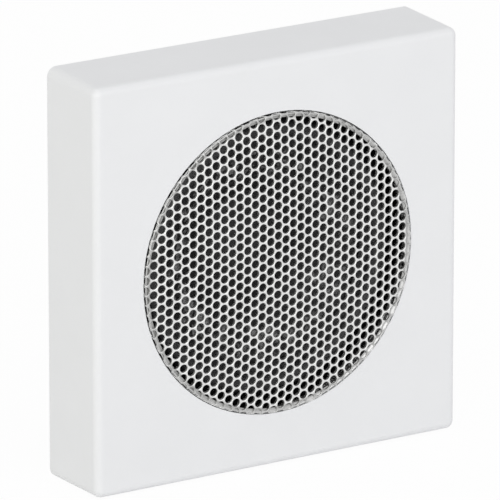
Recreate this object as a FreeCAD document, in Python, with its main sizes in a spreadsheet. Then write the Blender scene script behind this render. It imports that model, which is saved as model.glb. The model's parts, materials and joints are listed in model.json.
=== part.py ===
"""Flush-mounted loudspeaker module of a room audio system.

A square moulded cover holds a domed, perforated steel grille. Behind it sit a small moving-coil
loudspeaker, a carrier with four snap arms that clip into a panel, and a push-in terminal block.
X points right, Y into the wall and Z up. The origin is the centre of the cover's rear rim.
"""
import FreeCAD
import Part
import Sketcher
import math
import os
from types import SimpleNamespace

SIZES = {
    # Cover, moulded in one piece
    "cover_width": 55.0,
    "cover_depth": 11.5,
    "cover_side_wall": 1.8,
    "cover_front_wall": 2.0,
    "cover_draft_angle": 1.0,
    "cover_corner_radius": 1.3,
    "cover_edge_radius": 1.0,
    "cavity_corner_radius": 0.8,
    "face_border": 7.25,
    "boss_diameter": 5.0,
    # Grille, pressed from perforated sheet
    "grille_sheet": 0.5,
    "grille_gap": 0.1,
    "grille_flange": 1.3,
    "grille_proud": 0.15,
    "grille_rise": 0.84,
    "grille_bend": 0.1,
    "grille_hole_pitch": 3.25,
    "grille_hole_diameter": 2.44,
    "grille_hole_margin": 0.3,
    # Gasket between cover, grille and loudspeaker
    "gasket_thickness": 2.0,
    "gasket_width": 3.0,
    "gasket_overlap": 0.8,
    # Basket of the loudspeaker, pressed sheet steel
    "basket_sheet": 0.8,
    "basket_clearance": 1.2,
    "basket_corner_radius": 4.0,
    "basket_depth": 10.2,
    "basket_throat": 8.0,
    "basket_foot": 12.4,
    "ledge_depth": 6.4,
    "ledge_inner": 12.8,
    "ledge_width": 1.7,
    "window_angle": 55.0,
    "window_margin": 0.4,
    # Moving system
    "surround_sheet": 0.4,
    "surround_land": 1.8,
    "surround_roll": 2.8,
    "cone_paper": 0.4,
    "cone_lip": 1.1,
    "cone_travel": 1.0,
    "neck_clearance": 0.6,
    "dust_cap_radius": 7.6,
    "dust_cap_rise": 2.2,
    "dust_cap_paper": 0.3,
    "former_radius": 6.15,
    "former_wall": 0.2,
    "former_overhang": 0.5,
    "coil_build": 0.4,
    "coil_length": 3.6,
    "spider_cloth": 0.4,
    "spider_wave": 1.5,
    "spider_wave_height": 0.35,
    # Magnet system
    "running_gap": 0.3,
    "glue_gap": 0.05,
    "top_plate_thickness": 1.6,
    "top_plate_radius": 13.8,
    "magnet_thickness": 4.5,
    "magnet_radius": 16.0,
    "magnet_bore": 9.0,
    "yoke_thickness": 1.8,
    "yoke_chamfer": 0.4,
    "yoke_dimple_radius": 1.5,
    "yoke_dimple_depth": 0.5,
    # Tag board on the basket
    "ear_length": 4.1,
    "ear_width": 10.0,
    "board_length": 3.3,
    "board_thickness": 1.2,
    "tag_sheet": 0.5,
    "tag_width": 2.4,
    "tag_spacing": 6.0,
    "tag_overhang": 1.6,
    "rivet_radius": 0.6,
    "rivet_head_radius": 1.1,
    "rivet_head": 0.4,
    "rivet_inset": 1.5,
    # Carrier, moulded, screwed to the cover
    "carrier_clearance": 0.2,
    "carrier_plate": 1.8,
    "carrier_skirt": 1.4,
    "carrier_hole_clearance": 0.7,
    "panel_thickness": 2.0,
    "catch_clearance": 0.2,
    "arm_spacing": 28.0,
    "arm_width": 6.0,
    "arm_length": 4.5,
    "arm_slot": 0.8,
    "arm_root": 2.0,
    "hook_height": 0.9,
    "hook_land": 0.4,
    # Screws through carrier and basket into the cover
    "screw_inset": 4.0,
    "screw_radius": 1.0,
    "screw_bite": 2.4,
    "screw_head_radius": 2.0,
    "screw_head": 1.5,
    "screw_clearance": 0.2,
    "recess_length": 2.4,
    "recess_width": 0.5,
    "recess_depth": 0.8,
    # Terminal block
    "pedestal_height": 2.5,
    "pedestal_rib": 4.0,
    "block_width": 13.0,
    "block_height": 5.0,
    "block_depth": 8.4,
    "block_wall": 0.8,
    "block_rear_wall": 3.5,
    "pole_spacing": 6.5,
    "pole_width": 4.6,
    "wire_radius": 1.0,
    "slot_width": 2.2,
    "slot_height": 0.6,
    "contact_sheet": 0.5,
    "contact_width": 1.6,
    "contact_tail": 1.7,
    "spring_sheet": 0.3,
    "spring_width": 3.0,
    "seat_gap": 0.1,
    # Leads
    "lead_diameter": 1.2,
    "lead_lane": 2.0,
    "lead_lift": 1.0,
    "lead_step": 1.0,
    "tinsel_diameter": 0.6,
}
HALF_DIAGONAL = math.sqrt(0.5)
ROW_STEP = math.sqrt(0.75)
HOLE_SIDES = 6
TINY = 1e-6


class Size:
    """A dimension: its number and the formula of sheet cells that gives it."""

    def __init__(self, number, formula):
        self.number = number
        self.formula = formula

    def __add__(self, other):
        other = as_size(other)
        return Size(self.number + other.number, f"({self.formula} + {other.formula})")

    def __sub__(self, other):
        other = as_size(other)
        return Size(self.number - other.number, f"({self.formula} - {other.formula})")

    def __mul__(self, other):
        other = as_size(other)
        return Size(self.number * other.number, f"({self.formula} * {other.formula})")

    def __truediv__(self, other):
        other = as_size(other)
        return Size(self.number / other.number, f"({self.formula} / {other.formula})")

    def __neg__(self):
        return self * -1

    def root(self):
        return Size(math.sqrt(self.number), f"sqrt({self.formula})")


class Through(tuple):
    """A point of an outline that an arc between its two neighbours passes through."""


def as_size(value):
    return value if isinstance(value, Size) else Size(float(value), f"({float(value)})")


def smaller(first, second):
    number = min(first.number, second.number)
    return Size(number, f"min({first.formula}; {second.formula})")


doc = FreeCAD.newDocument("loudspeaker_module")
sheet = doc.addObject("Spreadsheet::Sheet", "sizes")
for row, (alias, value) in enumerate(SIZES.items(), start=1):
    sheet.set(f"A{row}", alias)
    sheet.set(f"B{row}", str(value))
    sheet.setAlias(f"B{row}", alias)
doc.recompute()
dim = SimpleNamespace(**{alias: Size(value, f"sizes.{alias}") for alias, value in SIZES.items()})
ZERO = as_size(0)

# Planes across Y, from the front face to the back of the yoke
front_face = -dim.cover_depth
wall_back = front_face + dim.cover_front_wall
grille_seat = wall_back - dim.grille_sheet
basket_front = wall_back + dim.gasket_thickness
basket_back = basket_front + dim.basket_sheet
carrier_back = basket_back + dim.carrier_plate
ledge_front = basket_front + dim.ledge_depth
ledge_back = ledge_front + dim.basket_sheet
spider_front = ledge_front - dim.spider_cloth
neck_back = spider_front - dim.neck_clearance
cone_front = basket_front
plate_front = basket_front + dim.basket_depth
magnet_front = plate_front + dim.top_plate_thickness
yoke_front = magnet_front + dim.magnet_thickness
yoke_back = yoke_front + dim.yoke_thickness
coil_middle = plate_front + dim.top_plate_thickness / 2
coil_back = coil_middle + dim.coil_length / 2
board_front = ledge_front - dim.board_thickness
tag_front = board_front - dim.tag_sheet
block_front = carrier_back + dim.pedestal_height
block_back = block_front + dim.block_depth
cavity_back = block_back - dim.block_rear_wall

# Radii, from the grille inwards
opening_radius = dim.cover_width / 2 - dim.face_border
grille_wall = opening_radius - dim.grille_gap
grille_flange = opening_radius + dim.grille_flange
gasket_inner = grille_flange - dim.gasket_overlap
lip_outer = gasket_inner - dim.carrier_clearance
mouth_radius = lip_outer - dim.surround_land
roll_outer = mouth_radius - dim.carrier_clearance
roll_inner = roll_outer - dim.surround_roll
cone_inner_lip = roll_inner - dim.cone_lip
ledge_outer = dim.ledge_inner + dim.ledge_width
former_outer = dim.former_radius + dim.former_wall
neck_radius = former_outer + dim.glue_gap
coil_outer = former_outer + dim.coil_build
plate_bore = coil_outer + dim.running_gap
pole_radius = dim.former_radius - dim.running_gap

# Half widths of the square pieces
cavity_half = dim.cover_width / 2 - dim.cover_side_wall
carrier_half = cavity_half - dim.carrier_clearance
carrier_corner = dim.cavity_corner_radius + dim.carrier_clearance * 2
skirt_inner = carrier_half - dim.carrier_skirt
flange_half = cavity_half - dim.basket_clearance
screw_place = flange_half - dim.screw_inset
screw_hole = dim.screw_radius + dim.screw_clearance
block_bottom = -skirt_inner
block_top = block_bottom + dim.block_height
ear_outer = ledge_outer + dim.ear_length
board_inner = ear_outer - dim.board_length
rivet_place = ear_outer - dim.rivet_inset


def vector(point):
    return FreeCAD.Vector(point[0].number, point[1].number, 0)


def bind(feature, name, size):
    """Sets one property to a size and ties it to the sheet."""
    setattr(feature, name, size.number)
    feature.setExpression(name, size.formula)


def new_body(label):
    body = doc.addObject("PartDesign::Body", label)
    body.Label = label
    return body


def new_sketch(body, plane, place=ZERO):
    """Makes a sketch on an origin plane, moved along that plane's normal by the given place."""
    sketch = body.newObject("Sketcher::SketchObject", f"{body.Name}_sketch")
    support = [feature for feature in body.Origin.OriginFeatures if feature.Role == plane]
    sketch.AttachmentSupport = (support[0], "")
    sketch.MapMode = "FlatFace"
    sketch.setExpression("AttachmentOffset.Base.z", place.formula)
    return sketch


def across(body, depth):
    """Makes a sketch across Y at the given depth, with X to the right and Z up."""
    return new_sketch(body, "XZ_Plane", -depth)


def bind_point(sketch, geometry, position, point):
    for axis, size in zip(("DistanceX", "DistanceY"), point):
        number = sketch.addConstraint(Sketcher.Constraint(axis, geometry, position, size.number))
        sketch.setExpression(f"Constraints[{number}]", size.formula)


def draw_outline(sketch, items):
    """Draws a closed outline whose corners, and the arcs' middle points, are bound to the sheet."""
    corners = []
    middles = {}
    for item in items:
        if isinstance(item, Through):
            middles[len(corners) - 1] = item
        else:
            corners.append(item)
    edges = []
    for index, corner in enumerate(corners):
        start = vector(corner)
        end = vector(corners[(index + 1) % len(corners)])
        if index in middles:
            number = sketch.addGeometry(Part.Arc(start, vector(middles[index]), end), False)
        else:
            number = sketch.addGeometry(Part.LineSegment(start, end), False)
        forward = sketch.getPoint(number, 1).distanceToPoint(start) < TINY
        edges.append((number, 1, 2) if forward else (number, 2, 1))
    for index, (number, first, last) in enumerate(edges):
        following, start, _ = edges[(index + 1) % len(edges)]
        sketch.addConstraint(Sketcher.Constraint("Coincident", number, last, following, start))
    for (number, first, _), corner in zip(edges, corners):
        bind_point(sketch, number, first, corner)
    for index, middle in middles.items():
        point = sketch.addGeometry(Part.Point(vector(middle)), True)
        sketch.addConstraint(Sketcher.Constraint("PointOnObject", point, 1, edges[index][0]))
        bind_point(sketch, point, 1, middle)


def draw_box(sketch, left, right, low, high):
    draw_outline(sketch, [(left, low), (right, low), (right, high), (left, high)])


def draw_rounded_square(sketch, half, radius):
    """Draws a square about the sketch's centre with rounded corners."""
    flat = half - radius
    bulge = flat + radius * HALF_DIAGONAL
    items = []
    for x_sign, y_sign in ((1, -1), (1, 1), (-1, 1), (-1, -1)):
        beside = (half * x_sign, flat * y_sign)
        above = (flat * x_sign, half * y_sign)
        ends = (beside, above) if x_sign * y_sign > 0 else (above, beside)
        items += [ends[0], Through((bulge * x_sign, bulge * y_sign)), ends[1]]
    draw_outline(sketch, items)


def draw_circle(sketch, radius, x=ZERO, y=ZERO):
    centre = vector((x, y))
    circle = Part.Circle(centre, FreeCAD.Vector(0, 0, 1), radius.number)
    number = sketch.addGeometry(circle, False)
    bind_point(sketch, number, 3, (x, y))
    bound = sketch.addConstraint(Sketcher.Constraint("Radius", number, radius.number))
    sketch.setExpression(f"Constraints[{bound}]", radius.formula)


def pad(body, sketch, length, backwards=True):
    """Thickens a sketch across Y towards the back, or towards the front."""
    feature = body.newObject("PartDesign::Pad", f"{body.Name}_pad")
    feature.Profile = sketch
    bind(feature, "Length", length)
    feature.Reversed = backwards
    return feature


def pad_both_ways(body, sketch, length):
    feature = pad(body, sketch, length, False)
    feature.Midplane = True
    return feature


def cut(body, sketch, length, backwards=True):
    """Cuts a sketch across Y into the body towards the back, or towards the front."""
    feature = body.newObject("PartDesign::Pocket", f"{body.Name}_cut")
    feature.Profile = sketch
    bind(feature, "Length", length)
    feature.Reversed = not backwards
    return feature


def cut_both_ways(body, sketch, length):
    feature = cut(body, sketch, length)
    feature.Midplane = True
    return feature


def turned(label, items):
    """Makes a round piece: an outline of radius and depth turned about the Y axis."""
    body = new_body(label)
    sketch = new_sketch(body, "XY_Plane")
    draw_outline(sketch, items)
    feature = body.newObject("PartDesign::Revolution", f"{label}_turn")
    feature.Profile = sketch
    feature.ReferenceAxis = (sketch, ["V_Axis"])
    feature.Angle = 360
    return body


def ring(label, inner, outer, front, back):
    return turned(label, [(inner, front), (outer, front), (outer, back), (inner, back)])


def dome_middle(radius, edge, crown):
    """Gives the point half way out on a round dome from its crown to its edge."""
    rise = edge - crown
    ball = (radius * radius + rise * rise) / (rise * 2)
    drop = ball - (ball * ball - radius * radius / 4).root()
    return Through((radius / 2, crown + drop))


def corner_places(place):
    return [(place * x_sign, place * z_sign) for x_sign in (-1, 1) for z_sign in (-1, 1)]


def draw_screw_holes(sketch, radius):
    for x, z in corner_places(screw_place):
        draw_circle(sketch, radius, x, z)


def round_front_edges(body, feature):
    """Rounds the edges where the cover's front face meets its sides."""
    doc.recompute()
    names = []
    for number, edge in enumerate(feature.Shape.Edges, start=1):
        box = edge.BoundBox
        if abs(box.YMin - front_face.number) < TINY and abs(box.YMax - front_face.number) < TINY:
            names.append(f"Edge{number}")
    fillet = body.newObject("PartDesign::Fillet", f"{body.Name}_edge")
    fillet.Base = (feature, names)
    bind(fillet, "Radius", smaller(dim.cover_edge_radius, dim.cover_corner_radius * 0.8))


def make_cover():
    """The moulded cover: a drafted square tray with a stepped round opening and four screw bosses."""
    body = new_body("cover")
    outline = across(body, ZERO)
    draw_rounded_square(outline, dim.cover_width / 2, dim.cover_corner_radius)
    block = pad(body, outline, dim.cover_depth, False)
    bind(block, "TaperAngle", -dim.cover_draft_angle)
    round_front_edges(body, block)
    cavity = across(body, ZERO)
    draw_rounded_square(cavity, cavity_half, dim.cavity_corner_radius)
    cut(body, cavity, dim.cover_depth - dim.cover_front_wall, False)
    bosses = across(body, wall_back)
    draw_screw_holes(bosses, dim.boss_diameter / 2)
    pad(body, bosses, dim.gasket_thickness)
    pilots = across(body, basket_front)
    draw_screw_holes(pilots, dim.screw_radius + dim.glue_gap)
    cut(body, pilots, dim.screw_bite + dim.screw_clearance, False)
    opening = across(body, wall_back)
    draw_circle(opening, opening_radius)
    cut(body, opening, dim.cover_front_wall * 2, False)
    seat = across(body, wall_back)
    draw_circle(seat, grille_flange + dim.seat_gap)
    cut(body, seat, dim.grille_sheet, False)
    return body


def hole_places(pitch, limit):
    """Gives the centres of a close-packed hole pattern inside a radius."""
    reach = int(limit / pitch) + 2
    places = []
    for column in range(-reach, reach + 1):
        for row in range(-reach, reach + 1):
            x = pitch * column * ROW_STEP
            z = pitch * (row + 0.5 * (column % 2))
            if math.hypot(x, z) <= limit:
                places.append((x, z))
    return places


def draw_light_hole(sketch, radius, x, z):
    """Draws a hole as a polygon of the round hole's area, because the grille has many of them."""
    wedge = 2 * math.pi / HOLE_SIDES
    reach = radius * math.sqrt(wedge / math.sin(wedge))
    corners = []
    for side in range(HOLE_SIDES):
        turn = wedge * side
        corners.append(FreeCAD.Vector(x + reach * math.cos(turn), z + reach * math.sin(turn), 0))
    sides = zip(corners, corners[1:] + corners[:1])
    sketch.addGeometry([Part.LineSegment(start, end) for start, end in sides], False)


def make_grille():
    """The pressed grille: flange, upright wall and a shallow dome with a pattern of holes."""
    sheet_wall = dim.grille_sheet
    bend = dim.grille_bend + sheet_wall
    rim = front_face - dim.grille_proud
    crown = rim - dim.grille_rise
    edge = grille_wall - bend
    outer_bend = (edge + bend * HALF_DIAGONAL, rim + bend - bend * HALF_DIAGONAL)
    inner_slant = dim.grille_bend * HALF_DIAGONAL
    inner_bend = (edge + inner_slant, rim + bend - inner_slant)
    body = turned("grille", [
        (ZERO, crown), dome_middle(edge, rim, crown), (edge, rim), outer_bend, (grille_wall, rim + bend),
        (grille_wall, grille_seat), (grille_flange, grille_seat), (grille_flange, wall_back),
        (grille_wall - sheet_wall, wall_back), (grille_wall - sheet_wall, rim + bend), inner_bend,
        (edge, rim + sheet_wall), dome_middle(edge, rim + sheet_wall, crown + sheet_wall),
        (ZERO, crown + sheet_wall),
    ])
    holes = across(body, grille_seat)
    hole_radius = dim.grille_hole_diameter / 2
    limit = edge - hole_radius - dim.grille_hole_margin
    for x, z in hole_places(dim.grille_hole_pitch.number, limit.number):
        draw_light_hole(holes, hole_radius.number, x, z)
    cut(body, holes, dim.cover_depth, False)
    return body


def draw_window(sketch, inner, outer, middle_angle):
    """Draws one ring sector about the sketch's centre, as wide as the basket's windows."""
    half_angle = SIZES["window_angle"] / 2

    def at(radius, angle):
        turn = math.radians(middle_angle + angle)
        return radius * math.cos(turn), radius * math.sin(turn)

    draw_outline(sketch, [
        at(outer, -half_angle), Through(at(outer, 0)), at(outer, half_angle),
        at(inner, half_angle), Through(at(inner, 0)), at(inner, -half_angle),
    ])


def make_basket():
    """The pressed basket: square flange, windowed cone, spider ledge, foot ring and tag ear."""
    wall = dim.basket_sheet
    body = turned("basket", [
        (mouth_radius, basket_front), (lip_outer, basket_front), (lip_outer, basket_back),
        (mouth_radius + wall, basket_back), (ledge_outer + wall, ledge_back),
        (dim.ledge_inner + wall, ledge_back), (dim.basket_foot + wall, plate_front),
        (dim.basket_throat, plate_front), (dim.basket_throat, plate_front - wall),
        (dim.basket_foot, plate_front - wall), (dim.ledge_inner, ledge_front),
        (ledge_outer, ledge_front),
    ])
    windows = across(body, basket_back)
    for quarter in range(4):
        draw_window(windows, ledge_outer + dim.window_margin, mouth_radius - dim.window_margin, quarter * 90)
    cut(body, windows, dim.basket_depth)
    flange = across(body, basket_front)
    draw_rounded_square(flange, flange_half, dim.basket_corner_radius)
    draw_circle(flange, mouth_radius + wall / 2)
    draw_screw_holes(flange, screw_hole)
    pad(body, flange, wall)
    ear = across(body, ledge_front)
    draw_box(ear, ledge_outer - dim.window_margin, ear_outer, -dim.ear_width / 2, dim.ear_width / 2)
    pad(body, ear, wall)
    rivet_holes = across(body, ledge_front)
    draw_rivet_holes(rivet_holes)
    cut(body, rivet_holes, wall)
    return body


def draw_rivet_holes(sketch):
    for side in (-1, 1):
        draw_circle(sketch, dim.rivet_radius + dim.glue_gap, rivet_place, dim.tag_spacing / 2 * side)


def make_gasket():
    """The foam ring that presses the grille into its seat and seals the loudspeaker."""
    return ring("gasket", gasket_inner, gasket_inner + dim.gasket_width, wall_back, basket_front)


def roll_corners(middle, foot, half_width, height):
    """Gives the corners of a half-round roll in straight steps, from its inner side outwards."""
    slant = half_width * HALF_DIAGONAL
    rise = height * HALF_DIAGONAL
    return [(middle - slant, foot - rise), (middle, foot - height), (middle + slant, foot - rise)]


def make_surround():
    """The rubber surround: glued lips with a half-round roll between them."""
    cloth = dim.surround_sheet
    lip_front = basket_front - cloth
    middle = (roll_outer + roll_inner) / 2
    reach = dim.surround_roll / 2
    outside = roll_corners(middle, lip_front, reach, reach)
    inside = roll_corners(middle, basket_front, reach - cloth, reach - cloth / 2)
    return turned("surround", [
        (cone_inner_lip, lip_front), (roll_inner, lip_front), *outside,
        (roll_outer, lip_front), (lip_outer, lip_front), (lip_outer, basket_front),
        (roll_outer - cloth, basket_front), *inside[::-1],
        (roll_inner + cloth, basket_front), (cone_inner_lip, basket_front),
    ])


def make_cone():
    """The paper cone: a flat lip under the surround and a straight flare down to the neck."""
    paper = dim.cone_paper
    return turned("cone", [
        (neck_radius, neck_back - paper), (cone_inner_lip, cone_front), (roll_inner, cone_front),
        (roll_inner, cone_front + paper), (cone_inner_lip + paper / 2, cone_front + paper),
        (neck_radius + paper, neck_back), (neck_radius, neck_back),
    ])


def cone_face(radius):
    """Gives the depth of the cone's front face at a radius."""
    neck_front = neck_back - dim.cone_paper
    share = (radius - neck_radius) / (cone_inner_lip - neck_radius)
    return neck_front + (cone_front - neck_front) * share


def make_dust_cap():
    """The domed cap glued over the cone's neck."""
    edge = cone_face(dim.dust_cap_radius) - dim.glue_gap
    crown = edge - dim.dust_cap_rise
    inner = dim.dust_cap_radius - dim.dust_cap_paper
    paper = dim.dust_cap_paper
    return turned("dust_cap", [
        (ZERO, crown), dome_middle(dim.dust_cap_radius, edge, crown), (dim.dust_cap_radius, edge),
        (inner, edge), dome_middle(inner, edge, crown + paper), (ZERO, crown + paper),
    ])


def make_spider():
    """The corrugated cloth spider, from the voice coil's tube out to the basket's ledge."""
    inner = former_outer + dim.glue_gap
    outer = ledge_outer - dim.carrier_clearance
    flat = dim.ledge_inner - dim.carrier_clearance
    waves = max(2, int((flat.number - inner.number) / SIZES["spider_wave"]))
    step = (flat - inner) / waves
    front = [(inner, spider_front)]
    back = [(inner, ledge_front)]
    for wave in range(waves):
        side = -1 if wave % 2 == 0 else 1
        middle = inner + step * (wave + 0.5)
        end = inner + step * (wave + 1)
        height = dim.spider_wave_height * side
        front += [(middle, spider_front + height), (end, spider_front)]
        back += [(middle, ledge_front + height), (end, ledge_front)]
    return turned("spider", front + [(outer, spider_front), (outer, ledge_front)] + back[::-1])


def make_coil():
    """The voice coil and the thin tube that carries it."""
    tube_front = neck_back - dim.cone_paper - dim.former_overhang
    tube = ring("coil_former", dim.former_radius, former_outer, tube_front, coil_back + dim.glue_gap)
    coil = ring("voice_coil", former_outer, coil_outer, coil_back - dim.coil_length, coil_back)
    return [tube, coil]


def make_magnet_system():
    """Top plate, ring magnet and the yoke with its pole, stacked behind the basket."""
    plate = ring("top_plate", plate_bore, dim.top_plate_radius, plate_front, magnet_front)
    magnet = ring("magnet", dim.magnet_bore, dim.magnet_radius, magnet_front, yoke_front)
    yoke = turned("yoke", [
        (ZERO, plate_front), (pole_radius, plate_front), (pole_radius, yoke_front),
        (dim.top_plate_radius, yoke_front), (dim.top_plate_radius, yoke_back - dim.yoke_chamfer),
        (dim.top_plate_radius - dim.yoke_chamfer, yoke_back), (dim.yoke_dimple_radius, yoke_back),
        (ZERO, yoke_back - dim.yoke_dimple_depth),
    ])
    return [plate, magnet, yoke]


def make_tag_board():
    """The insulating board on the basket's ear, with two solder tags and their rivets."""
    board = new_body("tag_board")
    outline = across(board, board_front)
    draw_box(outline, board_inner, ear_outer, -dim.ear_width / 2, dim.ear_width / 2)
    draw_rivet_holes(outline)
    pad(board, outline, dim.board_thickness)
    pieces = [board]
    for name, side in (("positive", -1), ("negative", 1)):
        centre = dim.tag_spacing / 2 * side
        tag = new_body(f"solder_tag_{name}")
        blank = across(tag, tag_front)
        half = dim.tag_width / 2
        draw_box(blank, board_inner, ear_outer + dim.tag_overhang, centre - half, centre + half)
        draw_circle(blank, dim.rivet_radius + dim.glue_gap, rivet_place, centre)
        pad(tag, blank, dim.tag_sheet)
        rivet = turned(f"tag_rivet_{name}", [
            (ZERO, tag_front - dim.rivet_head), (dim.rivet_head_radius, tag_front - dim.rivet_head),
            (dim.rivet_head_radius, tag_front), (dim.rivet_radius, tag_front),
            (dim.rivet_radius, ledge_back), (dim.rivet_head_radius, ledge_back),
            (dim.rivet_head_radius, ledge_back + dim.rivet_head), (ZERO, ledge_back + dim.rivet_head),
        ])
        place_at(rivet, rivet_place, centre)
        pieces += [tag, rivet]
    return pieces


def place_at(body, x, z):
    body.setExpression("Placement.Base.x", x.formula)
    body.setExpression("Placement.Base.z", z.formula)


def make_arm(body, x_sign, z_sign):
    """One snap arm: a tongue behind the skirt with a ramped hook that catches the panel."""
    inner = skirt_inner * z_sign
    outer = carrier_half * z_sign
    tip = (carrier_half - dim.hook_land) * z_sign
    hook = (carrier_half + dim.hook_height) * z_sign
    root = dim.panel_thickness
    catch = dim.panel_thickness + dim.catch_clearance
    end = root + dim.arm_length
    profile = new_sketch(body, "YZ_Plane", dim.arm_spacing / 2 * x_sign)
    draw_outline(profile, [
        (root, inner), (end, inner), (end, tip), (catch + dim.hook_land, hook), (catch, hook),
        (catch, outer), (root, outer),
    ])
    pad_both_ways(body, profile, dim.arm_width)


def make_carrier():
    """The moulded carrier: plate, skirt with slotted snap arms, and ribs under the terminal block."""
    body = new_body("carrier")
    plate = across(body, basket_back)
    draw_rounded_square(plate, carrier_half, carrier_corner)
    draw_circle(plate, mouth_radius + dim.basket_sheet + dim.carrier_hole_clearance)
    draw_screw_holes(plate, screw_hole)
    pad(body, plate, dim.carrier_plate)
    skirt = across(body, carrier_back)
    draw_rounded_square(skirt, carrier_half, carrier_corner)
    draw_rounded_square(skirt, skirt_inner, dim.cavity_corner_radius)
    pad(body, skirt, dim.panel_thickness - carrier_back)
    slots = new_sketch(body, "XY_Plane")
    for x_sign in (-1, 1):
        for edge in (-1, 1):
            near = dim.arm_spacing / 2 * x_sign + dim.arm_width / 2 * edge
            far = near + dim.arm_slot * edge
            draw_box(slots, near, far, carrier_back + dim.arm_root, dim.panel_thickness * 2)
    cut_both_ways(body, slots, dim.cover_width)
    for x_sign in (-1, 1):
        for z_sign in (-1, 1):
            make_arm(body, x_sign, z_sign)
    ribs = across(body, carrier_back)
    half = dim.block_width / 2
    draw_box(ribs, -half, half, block_bottom - dim.carrier_skirt / 2, block_bottom + dim.pedestal_rib)
    pad(body, ribs, dim.pedestal_height)
    return body


def make_screws():
    """Four pan-head screws through carrier and basket into the cover's bosses."""
    screws = []
    tip = basket_front - dim.screw_bite
    head_back = carrier_back + dim.screw_head
    for number, (x, z) in enumerate(corner_places(screw_place), start=1):
        body = turned(f"fixing_screw_{number}", [
            (ZERO, tip), (dim.screw_radius / 2, tip), (dim.screw_radius, tip + dim.screw_radius / 2),
            (dim.screw_radius, carrier_back), (dim.screw_head_radius, carrier_back),
            (dim.screw_head_radius, head_back - dim.screw_head / 3),
            (dim.screw_head_radius - dim.screw_head / 3, head_back), (ZERO, head_back),
        ])
        recess = across(body, head_back)
        long, narrow = dim.recess_length / 2, dim.recess_width / 2
        draw_outline(recess, [
            (long, -narrow), (long, narrow), (narrow, narrow), (narrow, long), (-narrow, long),
            (-narrow, narrow), (-long, narrow), (-long, -narrow), (-narrow, -narrow),
            (-narrow, -long), (narrow, -long), (narrow, -narrow),
        ])
        cut(body, recess, dim.recess_depth, False)
        place_at(body, x, z)
        screws.append(body)
    return screws


def pole_places():
    return [("positive", dim.pole_spacing / 2), ("negative", -dim.pole_spacing / 2)]


def make_terminal_block():
    """The push-in terminal block: two chambers, wire entries, release slots and tail slits."""
    body = new_body("terminal_block")
    outline = across(body, block_front)
    half = dim.block_width / 2
    draw_box(outline, -half, half, block_bottom, block_top)
    pad(body, outline, dim.block_depth)
    chamber_low = block_bottom + dim.block_wall
    chamber_high = block_top - dim.block_wall
    chambers = across(body, block_front)
    entries = across(body, block_back)
    slits = across(body, block_front)
    for _, x in pole_places():
        draw_box(chambers, x - dim.pole_width / 2, x + dim.pole_width / 2, chamber_low, chamber_high)
        draw_circle(entries, dim.wire_radius, x, chamber_low + dim.contact_sheet + dim.wire_radius)
        slot_half = dim.slot_width / 2
        draw_box(entries, x - slot_half, x + slot_half, chamber_high - dim.slot_height, chamber_high)
        slit_half = dim.contact_width / 2 + dim.seat_gap
        draw_box(slits, x - slit_half, x + slit_half, chamber_high - dim.seat_gap, block_top + dim.block_wall)
    cut(body, chambers, dim.block_depth - dim.block_rear_wall)
    cut(body, entries, dim.block_rear_wall + dim.seat_gap, False)
    cut(body, slits, dim.contact_sheet + dim.seat_gap * 3)
    return body


def strip(label, x, width, items):
    """Makes a bent strip: its outline of depth and height, thickened both ways across X."""
    body = new_body(label)
    profile = new_sketch(body, "YZ_Plane", x)
    draw_outline(profile, items)
    pad_both_ways(body, profile, width)
    return body


def make_terminal_inserts():
    """The contact bar and the clamping spring in each chamber of the terminal block."""
    metal = dim.contact_sheet
    floor = block_bottom + dim.block_wall + dim.seat_gap
    ceiling = block_top - dim.block_wall - dim.seat_gap
    front = block_front + dim.seat_gap
    back = cavity_back - dim.seat_gap
    leaf = dim.spring_sheet
    spring_front = front + metal * 2
    leaf_end = spring_front + metal * 2
    leaf_low = floor + metal + dim.seat_gap * 2
    pieces = []
    for name, x in pole_places():
        contact = strip(f"terminal_contact_{name}", x, dim.contact_width, [
            (front, floor), (back, floor), (back, floor + metal), (front + metal, floor + metal),
            (front + metal, block_top + dim.contact_tail), (front, block_top + dim.contact_tail),
        ])
        spring = strip(f"terminal_spring_{name}", x, dim.spring_width, [
            (spring_front, ceiling), (spring_front, ceiling - leaf), (back - leaf * 3, ceiling - leaf),
            (leaf_end, leaf_low), (leaf_end + leaf, leaf_low), (back, ceiling - leaf), (back, ceiling),
        ])
        pieces += [contact, spring]
    return pieces


def bent_path(points):
    """Joins straight runs with tangent arcs, each as large as its two runs allow."""
    points = [FreeCAD.Vector(*point) for point in points]
    edges = []
    radii = []
    start = points[0]
    for before, corner, after in zip(points, points[1:], points[2:]):
        arrive = (corner - before).normalize()
        leave = (after - corner).normalize()
        reach = 0.45 * min((corner - before).Length, (after - corner).Length)
        turn = arrive.getAngle(leave)
        radius = reach / math.tan(turn / 2)
        inward = (leave - arrive).normalize()
        middle = corner + inward * (radius / math.cos(turn / 2) - radius)
        first = corner - arrive * reach
        last = corner + leave * reach
        edges += [Part.LineSegment(start, first).toShape(), Part.Arc(first, middle, last).toShape()]
        radii.append(round(radius, 1))
        start = last
    edges.append(Part.LineSegment(start, points[-1]).toShape())
    return Part.Wire(edges), radii


def make_lead(label, points, diameter):
    """A round lead along its route."""
    path, radii = bent_path(points)
    start = path.Edges[0]
    first = start.FirstParameter
    circle = Part.Circle(start.valueAt(first), start.tangentAt(first), diameter / 2)
    tube = path.makePipeShell([Part.Wire(circle.toShape())], True, False)
    expected = math.pi * diameter**2 / 4 * path.Length
    print(label, "radii", radii, "volume", round(tube.Volume, 3), "expected", round(expected, 3))
    feature = doc.addObject("Part::Feature", label)
    feature.Label = label
    feature.Shape = tube
    return feature


def lane_point(angle, steps):
    """Gives a point of the lane that the leads follow inside the carrier's skirt, by angle and depth."""
    lane = skirt_inner.number - dim.lead_lane.number
    turn = math.radians(angle)
    depth = block_front.number + dim.lead_step.number * steps
    return lane * math.cos(turn), depth, lane * math.sin(turn)


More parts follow.
